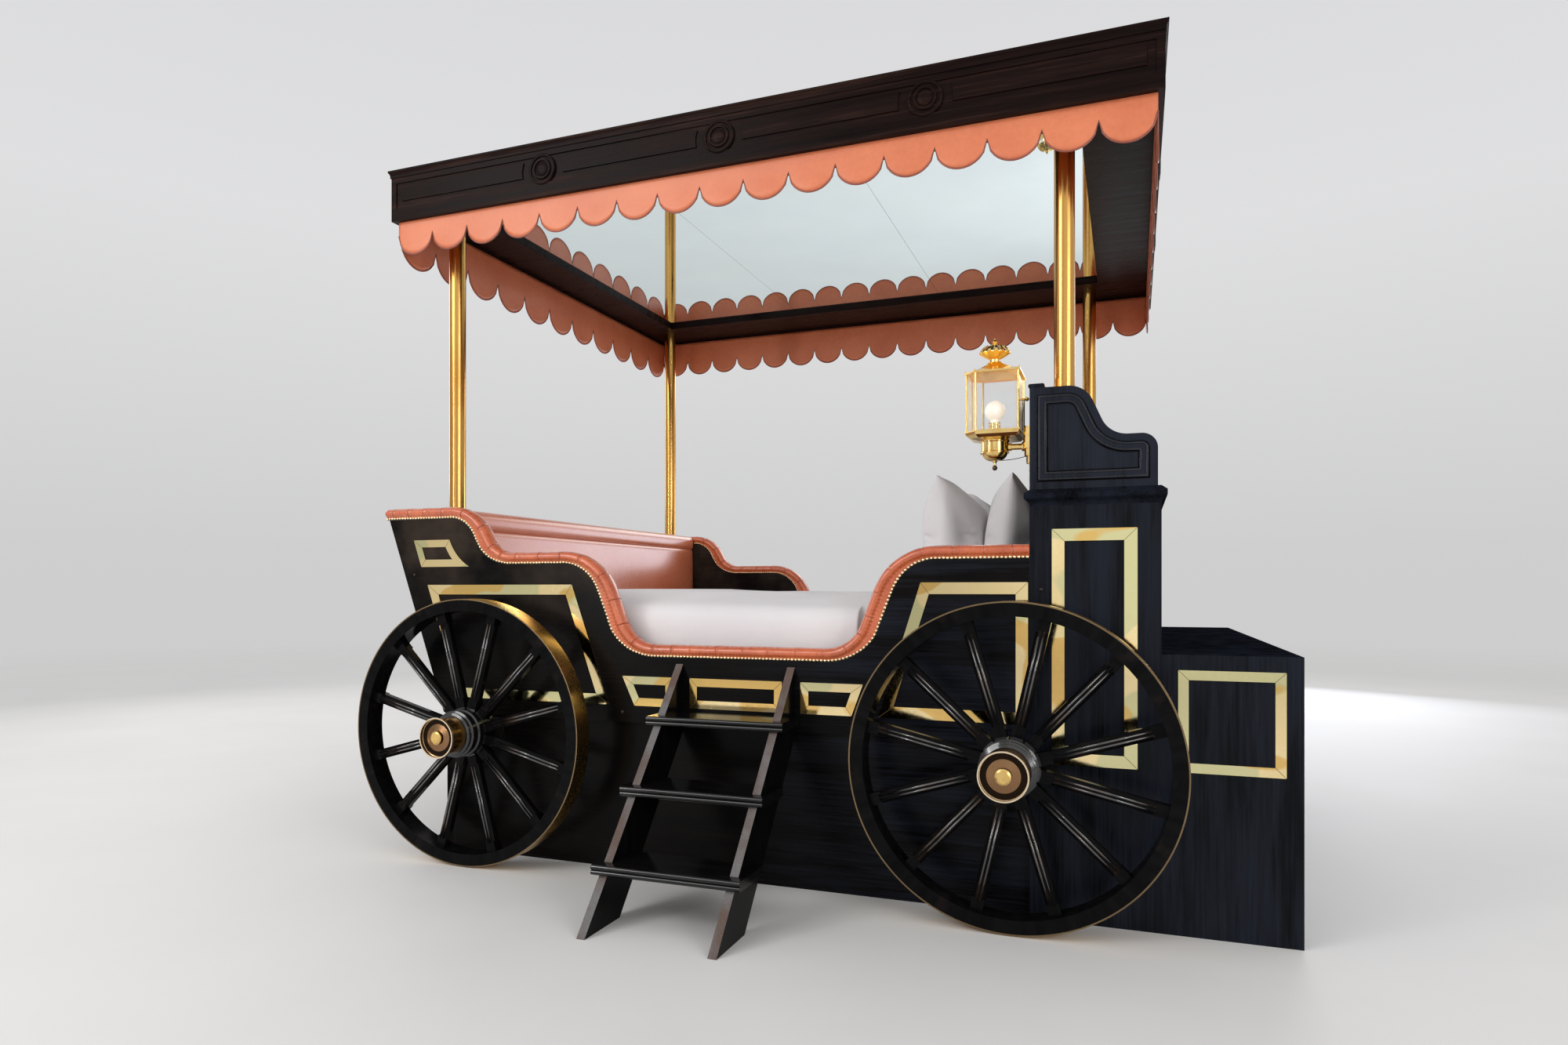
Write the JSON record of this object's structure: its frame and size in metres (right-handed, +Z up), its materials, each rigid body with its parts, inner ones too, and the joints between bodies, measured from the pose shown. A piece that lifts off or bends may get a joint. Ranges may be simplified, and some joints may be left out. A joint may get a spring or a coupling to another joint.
{
  "type": "stagecoach-shaped four-post canopy bed",
  "caption": "Stagecoach-shaped canopy bed with leather-rolled sides, brass posts, scalloped valance, turning spoked wheels, boarding steps, lamps and a driver's seat.",
  "frame": {"origin": "on the floor, midway along the coach and on its centreline", "axes": "+X forward towards the driver's seat, +Y the coach's left, +Z up"},
  "size_m": [2.9992, 3.2, 2.45],
  "materials": {
    "black_paint": "semi-gloss black paint",
    "black_wheel": "semi-gloss black paint, worn on the edges",
    "dark_wood": "very dark red-brown stained and polished wood",
    "plain_wood": "bare board",
    "leather": "salmon-orange upholstery leather",
    "polished_brass": "polished",
    "post_brass": "polished, warmer and slightly tarnished",
    "wheel_brass": "worn brass",
    "bedding": "white cotton",
    "ceiling_mirror": "silvered glass",
    "lamp_glass": "clear",
    "bulb_white": "opal white",
    "sleeve_white": "white",
    "dark_iron": "black"
  },
  "bodies": {
    "coach": {"plinth": "black_paint", "side_panel_right": "black_paint", "side_panel_left": "black_paint", "rear_panel": "black_paint", "rear_cap": "black_paint", "seat_box": "black_paint", "seat_cornice": "black_paint", "seat_board": "black_paint", "headboard": "black_paint", "seat_arm_right": "black_paint", "seat_arm_left": "black_paint", "foot_box": "black_paint", "step_stringers": "black_paint", "step_treads": "black_paint", "fascia_right": "dark_wood", "fascia_left": "dark_wood", "fascia_rear": "dark_wood", "fascia_front": "dark_wood", "soffit": "dark_wood", "roof_panel": "dark_wood", "deck": "plain_wood", "footboard": "plain_wood", "foot_pad": "leather", "foot_roll": "leather", "edge_roll_right": "leather", "edge_roll_left": "leather", "valance_right": "leather", "valance_left": "leather", "valance_rear": "leather", "valance_front": "leather", "brass_frames_right": "polished_brass", "brass_frames_left": "polished_brass", "lamp_frame_right": "polished_brass", "lamp_frame_left": "polished_brass", "lamp_brackets": "polished_brass", "posts": "post_brass", "post_flanges": "post_brass", "axle_nuts": "wheel_brass", "mattress": "bedding", "pillow_back_right": "bedding", "pillow_back_left": "bedding", "pillow_front_right": "bedding", "pillow_front_left": "bedding", "mirror_ceiling": "ceiling_mirror", "lamp_glass_right": "lamp_glass", "lamp_glass_left": "lamp_glass", "lamp_bulbs": "bulb_white", "wire_sleeves": "sleeve_white", "axle_rear": "dark_iron", "axle_front": "dark_iron"},
    "wheel_rear_right": {"wheel_rear_right": "black_wheel", "wheel_trim_rear_right": "wheel_brass"},
    "wheel_rear_left": {"wheel_rear_left": "black_wheel", "wheel_trim_rear_left": "wheel_brass"},
    "wheel_front_right": {"wheel_front_right": "black_wheel", "wheel_trim_front_right": "wheel_brass"},
    "wheel_front_left": {"wheel_front_left": "black_wheel", "wheel_trim_front_left": "wheel_brass"}
  },
  "joints": [
    {"name": "rear_right_wheel_spin", "type": "hinge", "parent": "coach", "child": "wheel_rear_right", "pos_m": [-1.01844, -1.147, 0.451], "axis": [0, 1, 0], "continuous": true},
    {"name": "rear_left_wheel_spin", "type": "hinge", "parent": "coach", "child": "wheel_rear_left", "pos_m": [-1.01844, 1.147, 0.451], "axis": [0, 1, 0], "continuous": true},
    {"name": "front_right_wheel_spin", "type": "hinge", "parent": "coach", "child": "wheel_front_right", "pos_m": [0.77456, -1.147, 0.451], "axis": [0, 1, 0], "continuous": true},
    {"name": "front_left_wheel_spin", "type": "hinge", "parent": "coach", "child": "wheel_front_left", "pos_m": [0.77456, 1.147, 0.451], "axis": [0, 1, 0], "continuous": true}
  ]
}
